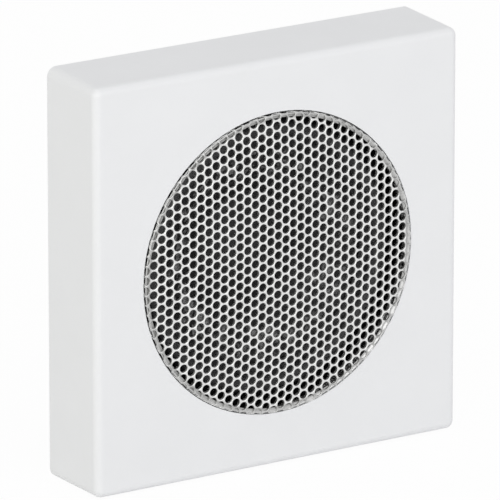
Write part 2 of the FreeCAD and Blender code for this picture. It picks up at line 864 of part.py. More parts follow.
def lead_routes():
    """The routes from each solder tag, along the skirt and over the terminal block to its contact."""
    tag_end = ear_outer + dim.tag_overhang + dim.lead_diameter / 2 + dim.seat_gap
    tag_depth = tag_front + dim.tag_sheet / 2
    tag_height = dim.tag_spacing.number / 2
    pole = dim.pole_spacing.number / 2
    beside = dim.contact_width.number / 2 + dim.seat_gap.number * 2
    contact_depth = block_front + dim.seat_gap + dim.contact_sheet / 2
    height = (block_top + dim.lead_lift).number
    step = dim.lead_step.number

    def over_block(side, back, up):
        return pole + step * side, block_front.number + step * back, height + step * up

    positive = [(tag_end.number, tag_depth.number, step * 0.8 - tag_height), lane_point(-19, 0.2),
                lane_point(-36, 0.7), lane_point(-53, 0.9), over_block(5.0, 0.8, -0.05),
                (pole + beside, contact_depth.number, height)]
    negative = [(tag_end.number, tag_depth.number, step * 1.2 + tag_height), lane_point(-1, 2.0),
                lane_point(-17, 3.6), lane_point(-36, 4.0), lane_point(-55, 3.9),
                over_block(3.6, 3.4, 0.1), over_block(-2.1, 2.1, -0.1),
                (beside - pole, contact_depth.number, height)]
    return {"lead_positive": positive, "lead_negative": negative}


def tinsel_route(side):
    """A slack loop from a solder tag through the basket's window to the back of the cone."""
    z = dim.tag_spacing.number / 2 * side
    half = dim.tinsel_diameter.number / 2 + dim.seat_gap.number
    start_x = board_inner.number + dim.tinsel_diameter.number / 2
    end_x = (neck_radius.number + cone_inner_lip.number) / 2
    start_y = tag_front.number - half
    reach = math.hypot(end_x, z)
    end_y = cone_face(as_size(reach)).number + dim.cone_paper.number + half * 2
    span = start_x - end_x
    return [(start_x, start_y, z), (start_x - span * 0.35, start_y + dim.seat_gap.number, z * 0.97),
            (start_x - span * 0.7, (start_y * 2 + end_y) / 3, z * 0.93), (end_x, end_y, z * 0.86)]


def make_leads():
    """Two insulated leads to the terminals and two tinsel leads to the voice coil."""
    leads = [make_lead(label, route, dim.lead_diameter.number) for label, route in lead_routes().items()]
    for name, side in (("positive", -1), ("negative", 1)):
        leads.append(make_lead(f"tinsel_{name}", tinsel_route(side), dim.tinsel_diameter.number))
    return leads


def check(pieces):
    """Stops if any object failed or any piece has a missing or invalid shape."""
    for item in doc.Objects:
        bad = [state for state in item.State if state in ("Invalid", "Error")]
        if bad:
            raise RuntimeError(f"{item.Label} failed: {item.State}")
    for piece in pieces:
        if piece.Shape.isNull() or not piece.Shape.isValid() or len(piece.Shape.Solids) != 1:
            raise RuntimeError(f"{piece.Label} has no valid single solid")


def main():
    pieces = [make_cover(), make_grille(), make_gasket(), make_basket(), make_surround(), make_cone()]
    pieces += [make_dust_cap(), make_spider(), *make_coil(), *make_magnet_system(), *make_tag_board()]
    pieces += [make_carrier(), *make_screws(), make_terminal_block(), *make_terminal_inserts(), *make_leads()]
    doc.recompute()
    check(pieces)
    os.makedirs("parts", exist_ok=True)
    for piece in pieces:
        piece.Shape.exportStep(f"parts/{piece.Label}.step")


main()
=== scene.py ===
"""Looks of the flush-mounted loudspeaker module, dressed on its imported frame."""
import json
import math

import bmesh
import bpy
import numpy as np
from mathutils import Matrix, Vector


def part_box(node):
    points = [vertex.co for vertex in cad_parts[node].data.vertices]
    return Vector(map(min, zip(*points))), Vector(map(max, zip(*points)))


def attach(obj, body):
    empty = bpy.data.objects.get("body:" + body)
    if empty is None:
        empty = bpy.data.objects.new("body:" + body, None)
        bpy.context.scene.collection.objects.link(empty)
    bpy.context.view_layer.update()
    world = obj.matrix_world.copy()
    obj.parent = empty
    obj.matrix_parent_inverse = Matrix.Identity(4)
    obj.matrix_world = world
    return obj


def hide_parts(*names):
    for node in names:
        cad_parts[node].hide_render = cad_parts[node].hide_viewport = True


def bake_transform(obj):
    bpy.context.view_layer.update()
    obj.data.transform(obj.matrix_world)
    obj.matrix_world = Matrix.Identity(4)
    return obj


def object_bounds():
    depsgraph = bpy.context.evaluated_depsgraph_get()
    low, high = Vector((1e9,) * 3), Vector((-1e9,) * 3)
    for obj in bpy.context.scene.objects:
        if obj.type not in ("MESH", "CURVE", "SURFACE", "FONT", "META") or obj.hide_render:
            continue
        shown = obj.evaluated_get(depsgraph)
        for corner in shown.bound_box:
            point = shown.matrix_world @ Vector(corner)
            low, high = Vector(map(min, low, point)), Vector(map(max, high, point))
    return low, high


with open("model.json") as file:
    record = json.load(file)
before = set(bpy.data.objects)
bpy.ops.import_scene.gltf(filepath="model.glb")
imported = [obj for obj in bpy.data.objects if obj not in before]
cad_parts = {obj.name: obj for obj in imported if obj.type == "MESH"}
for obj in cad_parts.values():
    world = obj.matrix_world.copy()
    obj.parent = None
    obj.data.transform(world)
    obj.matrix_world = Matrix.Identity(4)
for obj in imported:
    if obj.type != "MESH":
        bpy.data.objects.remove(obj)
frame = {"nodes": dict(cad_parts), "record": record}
cad_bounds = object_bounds()
nodes = frame["nodes"]

MM = 0.001
FULL_TURN = 2 * math.pi
TINY = 1e-9
BLACK = (0, 0, 0)
WHITE = (1, 1, 1)

# The view of the photograph, in millimetres and degrees
VIEW_AZIMUTH = -31.70
VIEW_ELEVATION = 17.54
VIEW_DISTANCE = 1079.0
VIEW_LENS = 606.7
SENSOR_WIDTH = 36.0
LOOK_AT = (-4.31, -11.5, 2.44)

# The nearest and farthest that the camera sees, in metres
CLIP_NEAR = 0.05
CLIP_FAR = 20.0

# The grille's sheet, in millimetres
SHEET = 0.5
FLANGE_REACH = 1.4
GRILLE_RISE = 0.84
GRILLE_BEND = 0.25
GRILLE_PLAY = (0.07, -0.07)
HEM_RADIUS = 19.5
HEM_DEPTH = 0.3
HEM_POINTS = 12
RIM_SEGMENTS = 180

# The share of its thickness that the sheet keeps where it is drawn round, and the run that it thins over
DRAWN_SHARE = 0.45
DRAWN_RUN = 0.3

# The punched holes, in millimetres, with the pattern's turn in degrees and its shift in pitches
HOLE_PITCH = 1.3168
HOLE_RADIUS = 0.55
HOLE_ROLL = 0.08
HOLE_SIDES = 18
CELL_SIDES = 6
COLUMN_STEP = math.sqrt(0.75)
PATTERN_TURN = -0.55
PATTERN_SHIFT = (0.3450, -0.4399)
PATTERN_STRETCH = ((0.9983, 0.0030), (0.0030, 1.0017))
PATTERN_MARGIN = 0.6
SPARE_ROWS = 3

# How the grille is worked out: rounds of fitting dome to bend, and tolerances in millimetres
DOME_ROUNDS = 4
WELD = 0.001
FLAT_TOLERANCE = 0.002

# The surround and the spider, in millimetres
SOFT_SHEET = 0.4
CONE_LIP = 1.1
SURROUND_LAND = 2.0
ROLL_STEPS = 14
SPIDER_WAVES = 4
SPIDER_HEIGHT = 0.33
SPIDER_LEDGE = 1.7
SPIDER_STEPS = 48
NECK_GAP = 0.05
SECTORS = 12
SECTOR_STEPS = 10

# The tinsel leads, in millimetres, with their start on the tag as a share of their depth
TINSEL_INSET = 0.3
TINSEL_SAG = 0.35
TINSEL_STEPS = 12
TAG_SHARE = 0.72
STRANDS = 3
STRAND_RADIUS = 0.14
STRAND_WIND = 1.05
STRAND_TURNS = 5
STRAND_SIDES = 8
STRAND_STEPS = 40

# Materials: the reach of ramps by radius in millimetres, and the part of a noise that most of it lies in
RAMP_REACH = 25.0
NOISE_SPAN = (0.3, 0.7)

# The studio, in metres and watts
FLOOR_SIZE = 6.0
FLOOR_GREY = 0.9
FLOOR_ROUGHNESS = 0.9
SHADOW_KEPT = 0.04
WORLD_LEVEL = 0.70
LAMP_SIZE = 0.55
LAMP_AIM = (0, -0.01, 0)
LEFT_TINT = (1.0, 1.0, 0.86)
LAMPS = (
    ("front_light", (-0.10, -0.78, 0.16), 1.91, WHITE),
    ("left_light", (-0.78, -0.20, 0.12), 1.38, LEFT_TINT),
    ("top_light", (-0.20, -0.30, 0.80), 0.50, WHITE),
)


def new_object(name, data):
    piece = bpy.data.objects.new(name, data)
    bpy.context.scene.collection.objects.link(piece)
    return piece


def mesh_from(name, vertices, faces):
    mesh = bpy.data.meshes.new(name)
    mesh.from_pydata([tuple(v) for v in vertices], [], faces)
    mesh.validate()
    return mesh


def smooth(mesh):
    mesh.polygons.foreach_set("use_smooth", [True] * len(mesh.polygons))
    mesh.update()


def ring_faces(low, high, sides):
    """Faces between two rings of points, from the number of the first point in each."""
    faces = []
    for side in range(sides):
        following = (side + 1) % sides
        faces.append((low + side, high + side, high + following, low + following))
    return faces


# Materials


def shade(colour, factor):
    return tuple(min(1.0, part * factor) for part in colour)


class Nodes:
    """A material's node tree, with short ways to add the nodes that the finishes share."""

    def __init__(self, name, material=None):
        self.material = material or bpy.data.materials.new(name)
        self.material.use_nodes = True
        self.tree = self.material.node_tree
        self.shader = self.tree.nodes["Principled BSDF"]
        self.place = self.node("ShaderNodeTexCoord").outputs["Object"]

    def node(self, kind):
        return self.tree.nodes.new(kind)

    def link(self, output, target):
        self.tree.links.new(output, target)

    def calculate(self, operation, *terms):
        """A math node whose terms are other nodes' outputs or plain numbers."""
        node = self.node("ShaderNodeMath")
        node.operation = operation
        for target, term in zip(node.inputs, terms):
            if isinstance(term, (int, float)):
                target.default_value = term
            else:
                self.link(term, target)
        return node.outputs["Value"]

    def noise(self, grain_mm, detail=4.0, stretch=(1, 1, 1)):
        """Noise whose lumps are about grain_mm across, in the object's own space."""
        mapping = self.node("ShaderNodeMapping")
        mapping.inputs["Scale"].default_value = stretch
        self.link(self.place, mapping.inputs["Vector"])
        texture = self.node("ShaderNodeTexNoise")
        texture.inputs["Scale"].default_value = 1 / (grain_mm * MM)
        texture.inputs["Detail"].default_value = detail
        self.link(mapping.outputs["Vector"], texture.inputs["Vector"])
        return texture.outputs["Fac"]

    def ramp(self, factor, stops):
        """A ramp over (position, colour) stops."""
        ramp = self.node("ShaderNodeValToRGB")
        elements = ramp.color_ramp.elements
        while len(elements) < len(stops):
            elements.new(0.5)
        for element, (position, colour) in zip(elements, stops):
            element.position = position
            element.color = (*colour, 1)
        self.link(factor, ramp.inputs["Fac"])
        return ramp.outputs["Color"]

    def shades(self, factor, colour, dark, light, span=NOISE_SPAN):
        """A ramp from a dark to a light shade of one colour."""
        return self.ramp(factor, [(span[0], shade(colour, dark)), (span[1], shade(colour, light))])

    def number(self, factor, low, high):
        """Maps a factor from 0 to 1 onto a range."""
        mapped = self.node("ShaderNodeMapRange")
        mapped.inputs["To Min"].default_value = low
        mapped.inputs["To Max"].default_value = high
        self.link(factor, mapped.inputs["Value"])
        return mapped.outputs["Result"]

    def radius(self):
        """The distance from the loudspeaker's axis, in metres."""
        flat = self.node("ShaderNodeVectorMath")
        flat.operation = "MULTIPLY"
        flat.inputs[1].default_value = (1, 0, 1)
        self.link(self.place, flat.inputs[0])
        length = self.node("ShaderNodeVectorMath")
        length.operation = "LENGTH"
        self.link(flat.outputs["Vector"], length.inputs[0])
        return length.outputs["Value"]

    def by_radius(self, stops):
        """A ramp over (distance from the axis in millimetres, colour) stops."""
        share = self.number(self.radius(), 0.0, 1 / (RAMP_REACH * MM))
        return self.ramp(share, [(distance / RAMP_REACH, colour) for distance, colour in stops])

    def mix(self, factor, first, second):
        """Blends from one colour to another by a factor."""
        mix = self.node("ShaderNodeMix")
        mix.data_type = "RGBA"
        for name, output in (("Factor", factor), ("A", first), ("B", second)):
            self.link(output, mix.inputs[name])
        return mix.outputs["Result"]

    def waves(self, value, step_mm):
        """A smooth wave from 0 to 1 that repeats every step_mm of the given length."""
        turns = self.calculate("MULTIPLY", value, FULL_TURN / (step_mm * MM))
        return self.calculate("MULTIPLY_ADD", self.calculate("SINE", turns), 0.5, 0.5)

    def rings(self, step_mm):
        """Uneven rings round the axis, about step_mm wide."""
        steps = self.calculate("MULTIPLY", self.radius(), 1 / (step_mm * MM))
        texture = self.node("ShaderNodeTexNoise")
        texture.noise_dimensions = "1D"
        texture.inputs["Scale"].default_value = 1.0
        texture.inputs["Detail"].default_value = 3.0
        self.link(steps, texture.inputs["W"])
        return texture.outputs["Fac"]

    def part_of(self, vector, axis):
        split = self.node("ShaderNodeSeparateXYZ")
        self.link(vector, split.inputs["Vector"])
        return split.outputs[axis]

    def facing_front(self):
        """1 on surfaces that face the front, 0 on those that face the back."""
        normal = self.node("ShaderNodeTexCoord").outputs["Normal"]
        return self.calculate("LESS_THAN", self.part_of(normal, "Y"), 0.0)

    def bump(self, height, depth_mm, strength):
        """Adds a bump on top of those that the material already has."""
        bump = self.node("ShaderNodeBump")
        bump.inputs["Strength"].default_value = strength
        bump.inputs["Distance"].default_value = depth_mm * MM
        self.link(height, bump.inputs["Height"])
        last = self.shader.inputs["Normal"]
        if last.is_linked:
            self.link(last.links[0].from_socket, bump.inputs["Normal"])
        self.link(bump.outputs["Normal"], last)

    def last_colour(self):
        return self.shader.inputs["Base Color"].links[0].from_socket

    def colour(self, output):
        self.link(output, self.shader.inputs["Base Color"])

    def roughness(self, output):
        self.link(output, self.shader.inputs["Roughness"])

    def set(self, name, value):
        self.shader.inputs[name].default_value = value


def plastic(name, colour, grain_mm, rough, spread):
    """Moulded plastic: faint cloudiness, a fine eroded grain and uneven gloss."""
    tree = Nodes(name)
    cloud = tree.noise(grain_mm=9.0, detail=3.0)
    tree.colour(tree.shades(cloud, colour, dark=1 - spread, light=1 + spread / 2))
    tree.roughness(tree.number(tree.noise(grain_mm=1.2), low=rough - 0.05, high=rough + 0.07))
    tree.bump(tree.noise(grain_mm, detail=6.0), depth_mm=0.012, strength=0.5)
    tree.bump(tree.noise(grain_mm=14.0, detail=2.0), depth_mm=0.05, strength=0.25)
    tree.set("IOR", 1.49)
    return tree.material


def metal(name, colour, rough, stretch=(1, 1, 1), grain_mm=0.25, bump_mm=0.004, metallic=1.0):
    """Bare or plated metal: rolling marks, small stains and uneven gloss."""
    tree = Nodes(name)
    stain = tree.noise(grain_mm=2.5, detail=5.0)
    tree.colour(tree.shades(stain, colour, dark=0.9, light=1.04, span=(0.25, 0.75)))
    marks = tree.noise(grain_mm, detail=6.0, stretch=stretch)
    tree.roughness(tree.number(marks, low=rough - 0.07, high=rough + 0.1))
    tree.bump(marks, depth_mm=bump_mm, strength=0.6)
    tree.set("Metallic", metallic)
    return tree.material


def pressed_sheet(name, colour, rough, metallic, rim, rim_shade_colour, lit_edge_colour):
    """Perforated steel sheet: rolling marks, and painted shade where the sheet bends round into its rim.

    The shade is painted lighter again towards the edge, as painted light on the outer bend. The rim is
    given by where the painted shade starts, where it is full and where the sheet's edge is.
    """
    start, full, edge = rim
    material = metal(name, colour, rough, stretch=(1, 1, 6), metallic=metallic)
    tree = Nodes(name, material)
    bright = tree.last_colour()
    # Painted shade: a darker band where the sheet bends round into its rim, painted lighter again towards
    # the edge as light on the outer bend
    painted_light_band = tree.by_radius([(start, BLACK), (full, WHITE)])
    painted_rim_shading, stained = (
        tree.by_radius([(full, shade(rim_shade_colour, level)), (edge, shade(lit_edge_colour, level))])
        for level in (1.0, 0.85)
    )
    stains = tree.ramp(tree.noise(grain_mm=0.8), [(0.3, WHITE), (0.7, BLACK)])
    tree.colour(tree.mix(painted_light_band, bright, tree.mix(stains, painted_rim_shading, stained)))
    return material


def turned_metal(name, colour, rough, dimple):
    """Plated steel turned on a lathe: stained metal with uneven tool marks, and painted shade darkening the
    centre dimple.
    """
    material = metal(name, colour, rough)
    tree = Nodes(name, material)
    stained = tree.last_colour()
    marks = tree.rings(step_mm=0.3)
    grooves = tree.ramp(marks, [(0.35, WHITE), (0.6, BLACK)])
    tooled = tree.mix(grooves, stained, tree.shades(tree.noise(grain_mm=3.0), colour, dark=0.74, light=0.9))
    # Painted shade: the centre dimple is darkened as if in shadow
    dimple_shade_mask = tree.by_radius([(dimple * 0.3, WHITE), (dimple, shade(WHITE, 0.45)), (dimple * 1.05, BLACK)])
    painted_dimple_shade = tree.shades(tree.noise(grain_mm=0.6), colour, dark=0.2, light=0.4)
    tree.colour(tree.mix(dimple_shade_mask, tooled, painted_dimple_shade))
    tree.bump(marks, depth_mm=0.008, strength=0.7)
    return material


def painted(name, colour, rough):
    """Sprayed paint on pressed steel: orange peel and uneven gloss."""
    tree = Nodes(name)
    tree.colour(tree.shades(tree.noise(grain_mm=3.0), colour, dark=0.8, light=1.25))
    tree.roughness(tree.number(tree.noise(grain_mm=0.6), low=rough - 0.06, high=rough + 0.1))
    tree.bump(tree.noise(grain_mm=0.5, detail=3.0), depth_mm=0.01, strength=0.6)
    return tree.material


def paper(name, colour, ring=None):
    """Pressed paper: felted fibres, shallow pressed rings and, if asked, a patchy pale ring on its front.

    The ring is partly a paler ring of the cone and partly patchy painted glints of light. It is given by
    its inner and outer radius in millimetres and its pale colour.
    """
    tree = Nodes(name)
    fibres = tree.noise(grain_mm=0.35, detail=8.0, stretch=(1, 3, 1))
    patches = tree.noise(grain_mm=1.6, detail=2.0)
    base = tree.shades(patches, colour, dark=0.6, light=1.7)
    if ring:
        inner, outer, pale_ring_colour = ring
        # A pale ring on the front: partly the cone's own paler ring, partly patchy painted glints of light
        painted_light_band = tree.by_radius([(inner - 1.5, BLACK), (inner, WHITE), (outer, WHITE), (outer + 1.0, BLACK)])
        painted_light_band = tree.calculate("MULTIPLY", painted_light_band, tree.facing_front())
        pale_ring_and_glints = tree.ramp(patches, [(0.52, shade(colour, 1.2)), (0.66, pale_ring_colour)])
        base = tree.mix(painted_light_band, base, pale_ring_and_glints)
    tree.colour(base)
    tree.roughness(tree.number(fibres, low=0.5, high=0.75))
    tree.bump(fibres, depth_mm=0.03, strength=0.7)
    tree.bump(tree.waves(tree.radius(), step_mm=1.3), depth_mm=0.05, strength=0.5)
    return tree.material


def cloth(name, colour, thread_mm):
    """Woven cloth: two crossing rows of threads with a slight resin shine."""
    tree = Nodes(name)
    warp = tree.waves(tree.part_of(tree.place, "X"), thread_mm)
    weft = tree.waves(tree.part_of(tree.place, "Z"), thread_mm)
    woven = tree.calculate("MULTIPLY", warp, weft)
    tree.colour(tree.shades(woven, colour, dark=0.55, light=1.0, span=(0.05, 0.6)))
    tree.roughness(tree.number(tree.noise(grain_mm=1.0), low=0.55, high=0.75))
    tree.bump(woven, depth_mm=0.05, strength=0.8)
    return tree.material


def rubber(name, colour, rough, rim=None):
    """Soft rubber or cable sheath: faint bloom and a fine skin and, if asked, painted shade darkening it
    towards a round rim.

    The rim is given by where the painted shade starts, where it is full, and the shaded colour.
    """
    tree = Nodes(name)
    bloom = tree.noise(grain_mm=1.5, detail=5.0)
    bloom_span = (0.3, 0.75)
    base = tree.shades(bloom, colour, dark=0.8, light=1.3, span=bloom_span)
    if rim:
        start, full, painted_rim_shading = rim
        # Painted shade: the rubber is darkened towards its rim, where it lies under the bezel
        painted_light_band = tree.by_radius([(start, BLACK), (full, WHITE)])
        base = tree.mix(painted_light_band, base, tree.shades(bloom, painted_rim_shading, dark=1.0, light=1.3, span=bloom_span))
    tree.colour(base)
    tree.roughness(tree.number(bloom, low=rough - 0.1, high=rough + 0.1))
    tree.bump(tree.noise(grain_mm=0.12), depth_mm=0.01, strength=0.6)
    return tree.material


def foam(name, colour, cell_mm):
    """Closed-cell foam: a skin full of small round cells."""
    tree = Nodes(name)
    cells = tree.node("ShaderNodeTexVoronoi")
    cells.inputs["Scale"].default_value = 1 / (cell_mm * MM)
    tree.link(tree.place, cells.inputs["Vector"])
    depth = cells.outputs["Distance"]
    tree.colour(tree.shades(depth, colour, dark=0.5, light=1.5, span=(0.1, 0.7)))
    tree.roughness(tree.number(tree.noise(grain_mm=0.5), low=0.8, high=0.95))
    tree.bump(depth, depth_mm=0.06, strength=0.8)
    return tree.material


def ferrite(name, colour):
    """Sintered ferrite: sandy dark grey with ground faces and small pits."""
    tree = Nodes(name)
    grains = tree.noise(grain_mm=0.15, detail=8.0)
    tree.colour(tree.shades(grains, colour, dark=0.6, light=1.5))
    tree.roughness(tree.number(tree.noise(grain_mm=0.8), low=0.45, high=0.7))
    tree.bump(grains, depth_mm=0.03, strength=0.7)
    tree.bump(tree.noise(grain_mm=1.6, detail=2.0), depth_mm=0.08, strength=0.35)
    tree.set("Metallic", 0.25)
    return tree.material


def board(name, colour):
    """Phenolic paper board: mottled brown with long paper fibres."""
    tree = Nodes(name)
    fibres = tree.noise(grain_mm=0.5, detail=6.0, stretch=(1, 1, 5))
    tree.colour(tree.shades(fibres, colour, dark=0.7, light=1.3))
    tree.roughness(tree.number(fibres, low=0.3, high=0.5))
    tree.bump(fibres, depth_mm=0.02, strength=0.4)
    return tree.material


def winding(name, colour, wire_mm):
    """Enamelled wire wound turn beside turn along the axis."""
    tree = Nodes(name)
    turns = tree.waves(tree.part_of(tree.place, "Y"), wire_mm)
    tree.colour(tree.shades(turns, colour, dark=0.4, light=1.0, span=(0.0, 0.6)))
    tree.roughness(tree.number(tree.noise(grain_mm=0.6), low=0.2, high=0.35))
    tree.bump(turns, depth_mm=0.05, strength=0.9)
    tree.set("Metallic", 1.0)
    return tree.material


def make_materials():
    """One procedural material for each material slot of the record."""
    looks = (
        ("cover_plastic", plastic, dict(
            colour=(0.799, 0.805, 0.822), grain_mm=0.16, rough=0.42, spread=0.012)),
        # The grille's rim colours are painted shade at its bend and painted light at its edge
        ("grille_steel", pressed_sheet, dict(
            colour=(0.78, 0.78, 0.775), rough=0.36, metallic=0.7, rim=(19.2, 19.45, 20.15),
            rim_shade_colour=(0.40, 0.40, 0.395), lit_edge_colour=(0.68, 0.68, 0.675))),
        ("foam", foam, dict(colour=(0.018, 0.018, 0.019), cell_mm=0.3)),
        ("basket_steel", painted, dict(colour=(0.022, 0.022, 0.024), rough=0.42)),
        # The surround darkens towards its rim: painted shade under the bezel
        ("surround_rubber", rubber, dict(
            colour=(0.05, 0.05, 0.052), rough=0.46, rim=(17.0, 18.3, (0.010, 0.010, 0.011)))),
        ("spider_cloth", cloth, dict(colour=(0.36, 0.19, 0.045), thread_mm=0.45)),
        ("plated_steel", turned_metal, dict(colour=(0.56, 0.555, 0.525), rough=0.32, dimple=1.5)),
        ("ferrite", ferrite, dict(colour=(0.03, 0.03, 0.033))),
        ("board_phenolic", board, dict(colour=(0.17, 0.065, 0.022))),
        ("tinned_brass", metal, dict(colour=(0.72, 0.70, 0.64), rough=0.30)),
        ("rivet_brass", metal, dict(colour=(0.70, 0.46, 0.14), rough=0.28)),
        ("tinsel_copper", metal, dict(colour=(0.70, 0.33, 0.15), rough=0.32, grain_mm=0.1, bump_mm=0.02)),
        ("carrier_plastic", plastic, dict(
            colour=(0.74, 0.735, 0.71), grain_mm=0.12, rough=0.52, spread=0.03)),
        ("screw_steel", metal, dict(colour=(0.66, 0.66, 0.66), rough=0.30)),
        ("terminal_plastic", plastic, dict(
            colour=(0.16, 0.17, 0.18), grain_mm=0.14, rough=0.5, spread=0.08)),
        ("spring_steel", metal, dict(colour=(0.60, 0.60, 0.61), rough=0.25)),
        ("lead_red", rubber, dict(colour=(0.42, 0.012, 0.012), rough=0.42)),
        ("lead_black", rubber, dict(colour=(0.02, 0.02, 0.021), rough=0.42)),
        # The cone's pale ring is partly its own colour and partly painted glints of light
        ("cone_paper", paper, dict(colour=(0.013, 0.013, 0.0135), ring=(11.0, 13.4, (0.32, 0.32, 0.32)))),
        ("cap_paper", paper, dict(colour=(0.014, 0.014, 0.0145))),
        ("former_film", plastic, dict(colour=(0.20, 0.09, 0.02), grain_mm=0.3, rough=0.35, spread=0.1)),
        ("coil_copper", winding, dict(colour=(0.66, 0.26, 0.10), wire_mm=0.14)),
    )
    return {slot: finish(slot, **look) for slot, finish, look in looks}


def dress_nodes(materials):
    """Gives every CAD node the material of its slot."""
    for row in frame["record"]["subparts"]:
        mesh = nodes[row["node"]].data
        mesh.materials.clear()
        mesh.materials.append(materials[row["material_slot"]])


# The perforated grille


class GrilleProfile:
    """The grille's front surface, by distance along it from the crown: dome, bend and upright wall."""

    def __init__(self, crown, wall, wall_end):
        self.crown = crown
        self.bend_radius = wall - GRILLE_BEND
        edge = self.bend_radius
        for _ in range(DOME_ROUNDS):
            self.ball = (edge**2 + GRILLE_RISE**2) / (2 * GRILLE_RISE)
            self.tilt = math.asin(edge / self.ball)
            edge = self.bend_radius + GRILLE_BEND * math.sin(self.tilt)
        self.dome_length = self.ball * self.tilt
        self.bend_length = GRILLE_BEND * (math.pi / 2 - self.tilt)
        rim = crown + self.ball * (1 - math.cos(self.tilt))
        self.bend_centre = rim + GRILLE_BEND * math.cos(self.tilt)
        self.length = self.dome_length + self.bend_length + wall_end - self.bend_centre

    def points(self, distance):
        """Radius and depth of the surface, and its outward direction, at distances from the crown."""
        distance = np.minimum(distance, self.length)
        on_dome = distance / self.ball
        past_dome = np.clip(distance - self.dome_length, 0, self.bend_length)
        on_bend = self.tilt + past_dome / GRILLE_BEND
        down_wall = np.maximum(distance - self.dome_length - self.bend_length, 0)
        angle = np.where(distance <= self.dome_length, on_dome, on_bend)
        radius = np.where(distance <= self.dome_length, self.ball * np.sin(on_dome),
                          self.bend_radius + GRILLE_BEND * np.sin(on_bend))
        depth = np.where(distance <= self.dome_length, self.crown + self.ball * (1 - np.cos(on_dome)),
                         self.bend_centre - GRILLE_BEND * np.cos(on_bend) + down_wall)
        return radius, depth, angle

    def below(self, distance, depth):
        """Radius and depth of points at a depth in the sheet, which is thinner where it is drawn round."""
        radius, surface, angle = self.points(distance)
        drawn = np.interp(distance, [self.dome_length - DRAWN_RUN, self.dome_length], [1.0, DRAWN_SHARE])
        return radius - depth * drawn * np.sin(angle), surface + depth * drawn * np.cos(angle)


def hole_centres(reach):
    """Centres of the close-packed holes in the flat sheet, in millimetres, out to a radius."""
    count = int(reach / HOLE_PITCH) + SPARE_ROWS
    centres = []
    for column in range(-count, count + 1):
        for row in range(-count, count + 1):
            x = (column * COLUMN_STEP + PATTERN_SHIFT[0]) * HOLE_PITCH
            z = (row + 0.5 * (column % 2) + PATTERN_SHIFT[1]) * HOLE_PITCH
            if math.hypot(x, z) < reach:
                centres.append((x, z))
    return np.array(centres)


def cell_rings():
    """One hole's six-sided cell as rings of flat points, each with its depth below the front surface."""
    angles = np.arange(HOLE_SIDES) * FULL_TURN / HOLE_SIDES
    side_turn = FULL_TURN / CELL_SIDES
    border = HOLE_PITCH / 2 / np.cos(angles % side_turn - side_turn / 2)
    half_roll = HOLE_ROLL * (1 - math.sqrt(0.5))
    layers = [
        (border, 0.0),
        (HOLE_RADIUS + HOLE_ROLL, 0.0),
        (HOLE_RADIUS + half_roll, half_roll),
        (HOLE_RADIUS, HOLE_ROLL),
        (HOLE_RADIUS, SHEET),
        (border, SHEET),
    ]
    return [
        (np.stack([np.cos(angles) * radius, np.sin(angles) * radius], axis=1), depth)
        for radius, depth in layers
    ]


def perforated_sheet(profile):
    """Vertices and faces of the pressed sheet, cell by cell."""
    centres = hole_centres(profile.length + HOLE_PITCH * PATTERN_MARGIN)
    turn = math.radians(PATTERN_TURN)
    turned = np.array([[math.cos(turn), math.sin(turn)], [-math.sin(turn), math.cos(turn)]])
    spin = turned @ PATTERN_STRETCH
    rings = cell_rings()
    layers = []
    for flat, depth in rings:
        places = (centres[:, None, :] + flat[None, :, :]) @ spin
        distance = np.linalg.norm(places, axis=2)
        radius, surface = profile.below(distance, depth)
        way = places / np.maximum(distance, TINY)[:, :, None]
        layers.append(np.stack([way[:, :, 0] * radius, surface, way[:, :, 1] * radius], axis=2))
    vertices = np.stack(layers, axis=1)
    faces = []
    for cell in range(len(centres)):
        for layer in range(len(rings) - 1):
            low = (cell * len(rings) + layer) * HOLE_SIDES
            faces += ring_faces(low, low + HOLE_SIDES, HOLE_SIDES)
    return vertices.reshape(-1, 3) * MM, faces


def turned_faces(profile, segments, first=0, start=0.0, sweep=FULL_TURN):
    """Vertices and faces of a closed profile of (radius, depth) turned about the loudspeaker's axis."""
    whole = abs(sweep - FULL_TURN) < TINY
    stations = segments if whole else segments + 1
    vertices = []
    for station in range(stations):
        angle = start + sweep * station / segments
        for radius, depth in profile:
            vertices.append((radius * math.cos(angle) * MM, depth * MM, radius * math.sin(angle) * MM))
    count = len(profile)
    faces = []
    for station in range(segments):
        here = first + station * count
        there = first + ((station + 1) % stations) * count
        for index in range(count):
            following = (index + 1) % count
            faces.append((here + index, here + following, there + following, there + index))
    return vertices, faces


def hem_profile(profile):
    """The hem behind the rim that closes the outermost holes, as (radius, depth) points."""
    distance = np.linspace(HEM_RADIUS, profile.dome_length + profile.bend_length, HEM_POINTS)
    front, back = (list(zip(*profile.below(distance, depth))) for depth in (HEM_DEPTH, SHEET))
    return front + back[::-1]


def rim_mesh(profile, wall, flange, seat, back):
    """The flange that holds the grille and the hem behind its rim, as one mesh."""
    inner = wall - SHEET * DRAWN_SHARE
    ring = [(wall, seat), (flange, seat), (flange, back), (inner, back), (inner, seat)]
    vertices, faces = turned_faces(ring, RIM_SEGMENTS)
    more, hem_faces = turned_faces(hem_profile(profile), RIM_SEGMENTS, first=len(vertices))
    return mesh_from("grille_rim", vertices + more, faces + hem_faces)


def close_seat(shell, seat):
    """Takes away what folded flat at the sheet's end and closes the cut face of each web there."""
    level = (seat - FLAT_TOLERANCE) * MM
    folded = [face for face in shell.faces if all(corner.co.y > level for corner in face.verts)]
    bmesh.ops.delete(shell, geom=folded, context="FACES")
    bmesh.ops.holes_fill(shell, edges=[edge for edge in shell.edges if edge.is_boundary])


